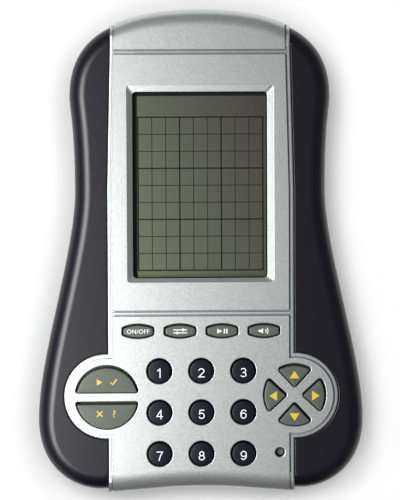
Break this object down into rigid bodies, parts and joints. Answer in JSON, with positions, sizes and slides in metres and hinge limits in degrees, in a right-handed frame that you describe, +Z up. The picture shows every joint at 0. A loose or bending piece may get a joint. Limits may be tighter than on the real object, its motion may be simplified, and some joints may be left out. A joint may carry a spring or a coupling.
{
  "type": "electronic sudoku game",
  "caption": "Handheld electronic number-grid game: waisted two-part housing with a silver face panel, a display window, sprung number, function and direction keys, and a battery door.",
  "frame": {"origin": "on the back face, under the middle of the body", "axes": "+Z up through the face, +Y towards the display end, X across the face"},
  "size_m": [0.099, 0.145, 0.0252],
  "materials": {
    "silver_paint": "satin",
    "black_abs": "satin",
    "clear_acrylic": "polished",
    "polariser_film": "gloss",
    "lcd_glass": "polished",
    "reflector_film": "satin",
    "white_abs": "matte",
    "zebra_rubber": "matte",
    "circuit_board": "satin",
    "chip_resin": "gloss",
    "component_metal": "satin",
    "silicone": "matte",
    "carbon_rubber": "matte",
    "black_key": "satin",
    "grey_key": "satin",
    "brass_sheet": "satin",
    "piezo_ceramic": "matte",
    "cell_can": "satin",
    "nickel_steel": "satin",
    "zinc_steel": "satin",
    "red_pvc": "satin",
    "black_pvc": "satin"
  },
  "bodies": {
    "housing": {"face_panel": "silver_paint", "front_case": "black_abs", "back_cover": "black_abs", "window_lens": "clear_acrylic", "lcd_polariser": "polariser_film", "lcd_front_glass": "lcd_glass", "lcd_rear_glass": "lcd_glass", "lcd_reflector": "reflector_film", "lcd_frame": "white_abs", "zebra_strip": "zebra_rubber", "main_board": "circuit_board", "chip_blob": "chip_resin", "board_parts": "component_metal", "rubber_mat": "silicone", "contact_pills": "carbon_rubber", "buzzer_disc": "brass_sheet", "buzzer_ceramic": "piezo_ceramic", "battery_cells": "cell_can", "battery_springs": "nickel_steel", "battery_contacts": "nickel_steel", "battery_link": "nickel_steel", "case_screws": "zinc_steel", "board_screws": "zinc_steel", "battery_leads": "red_pvc", "buzzer_leads": "black_pvc"},
    "battery_door": {"battery_door": "black_abs"},
    "reset_button": {"reset_button": "grey_key"},
    "key_1": {"key_1": "black_key"},
    "key_2": {"key_2": "black_key"},
    "key_3": {"key_3": "black_key"},
    "key_4": {"key_4": "black_key"},
    "key_5": {"key_5": "black_key"},
    "key_6": {"key_6": "black_key"},
    "key_7": {"key_7": "black_key"},
    "key_8": {"key_8": "black_key"},
    "key_9": {"key_9": "black_key"},
    "key_power": {"key_power": "grey_key"},
    "key_set": {"key_set": "grey_key"},
    "key_mode": {"key_mode": "grey_key"},
    "key_sound": {"key_sound": "grey_key"},
    "key_start": {"key_start": "grey_key"},
    "key_clear": {"key_clear": "grey_key"},
    "key_up": {"key_up": "grey_key"},
    "key_down": {"key_down": "grey_key"},
    "key_left": {"key_left": "grey_key"},
    "key_right": {"key_right": "grey_key"}
  },
  "joints": [
    {"name": "key_1_press", "type": "slide", "parent": "housing", "child": "key_1", "axis": [0, 0, -1], "range_m": [0, 0.0008], "stiffness_N_per_m": 700, "springref_m": -0.0003, "deforming": ["rubber_mat"]},
    {"name": "key_2_press", "type": "slide", "parent": "housing", "child": "key_2", "axis": [0, 0, -1], "range_m": [0, 0.0008], "stiffness_N_per_m": 700, "springref_m": -0.0003, "deforming": ["rubber_mat"]},
    {"name": "key_3_press", "type": "slide", "parent": "housing", "child": "key_3", "axis": [0, 0, -1], "range_m": [0, 0.0008], "stiffness_N_per_m": 700, "springref_m": -0.0003, "deforming": ["rubber_mat"]},
    {"name": "key_4_press", "type": "slide", "parent": "housing", "child": "key_4", "axis": [0, 0, -1], "range_m": [0, 0.0008], "stiffness_N_per_m": 700, "springref_m": -0.0003, "deforming": ["rubber_mat"]},
    {"name": "key_5_press", "type": "slide", "parent": "housing", "child": "key_5", "axis": [0, 0, -1], "range_m": [0, 0.0008], "stiffness_N_per_m": 700, "springref_m": -0.0003, "deforming": ["rubber_mat"]},
    {"name": "key_6_press", "type": "slide", "parent": "housing", "child": "key_6", "axis": [0, 0, -1], "range_m": [0, 0.0008], "stiffness_N_per_m": 700, "springref_m": -0.0003, "deforming": ["rubber_mat"]},
    {"name": "key_7_press", "type": "slide", "parent": "housing", "child": "key_7", "axis": [0, 0, -1], "range_m": [0, 0.0008], "stiffness_N_per_m": 700, "springref_m": -0.0003, "deforming": ["rubber_mat"]},
    {"name": "key_8_press", "type": "slide", "parent": "housing", "child": "key_8", "axis": [0, 0, -1], "range_m": [0, 0.0008], "stiffness_N_per_m": 700, "springref_m": -0.0003, "deforming": ["rubber_mat"]},
    {"name": "key_9_press", "type": "slide", "parent": "housing", "child": "key_9", "axis": [0, 0, -1], "range_m": [0, 0.0008], "stiffness_N_per_m": 700, "springref_m": -0.0003, "deforming": ["rubber_mat"]},
    {"name": "key_power_press", "type": "slide", "parent": "housing", "child": "key_power", "axis": [0, 0, -1], "range_m": [0, 0.0008], "stiffness_N_per_m": 700, "springref_m": -0.0003, "deforming": ["rubber_mat"]},
    {"name": "key_set_press", "type": "slide", "parent": "housing", "child": "key_set", "axis": [0, 0, -1], "range_m": [0, 0.0008], "stiffness_N_per_m": 700, "springref_m": -0.0003, "deforming": ["rubber_mat"]},
    {"name": "key_mode_press", "type": "slide", "parent": "housing", "child": "key_mode", "axis": [0, 0, -1], "range_m": [0, 0.0008], "stiffness_N_per_m": 700, "springref_m": -0.0003, "deforming": ["rubber_mat"]},
    {"name": "key_sound_press", "type": "slide", "parent": "housing", "child": "key_sound", "axis": [0, 0, -1], "range_m": [0, 0.0008], "stiffness_N_per_m": 700, "springref_m": -0.0003, "deforming": ["rubber_mat"]},
    {"name": "key_start_press", "type": "slide", "parent": "housing", "child": "key_start", "axis": [0, 0, -1], "range_m": [0, 0.0008], "stiffness_N_per_m": 700, "springref_m": -0.0003, "deforming": ["rubber_mat"]},
    {"name": "key_clear_press", "type": "slide", "parent": "housing", "child": "key_clear", "axis": [0, 0, -1], "range_m": [0, 0.0008], "stiffness_N_per_m": 700, "springref_m": -0.0003, "deforming": ["rubber_mat"]},
    {"name": "key_up_press", "type": "slide", "parent": "housing", "child": "key_up", "axis": [0, 0, -1], "range_m": [0, 0.0008], "stiffness_N_per_m": 700, "springref_m": -0.0003, "deforming": ["rubber_mat"]},
    {"name": "key_down_press", "type": "slide", "parent": "housing", "child": "key_down", "axis": [0, 0, -1], "range_m": [0, 0.0008], "stiffness_N_per_m": 700, "springref_m": -0.0003, "deforming": ["rubber_mat"]},
    {"name": "key_left_press", "type": "slide", "parent": "housing", "child": "key_left", "axis": [0, 0, -1], "range_m": [0, 0.0008], "stiffness_N_per_m": 700, "springref_m": -0.0003, "deforming": ["rubber_mat"]},
    {"name": "key_right_press", "type": "slide", "parent": "housing", "child": "key_right", "axis": [0, 0, -1], "range_m": [0, 0.0008], "stiffness_N_per_m": 700, "springref_m": -0.0003, "deforming": ["rubber_mat"]},
    {"name": "reset_button_press", "type": "slide", "parent": "housing", "child": "reset_button", "axis": [0, 0, -1], "range_m": [0, 0.0008], "stiffness_N_per_m": 500, "springref_m": -0.0003, "deforming": ["rubber_mat"]},
    {"name": "battery_door_tilt", "type": "hinge", "parent": "housing", "child": "battery_door", "pos_m": [0, 0.032, 0.0013], "axis": [1, 0, 0], "range_deg": [0, 45]}
  ]
}
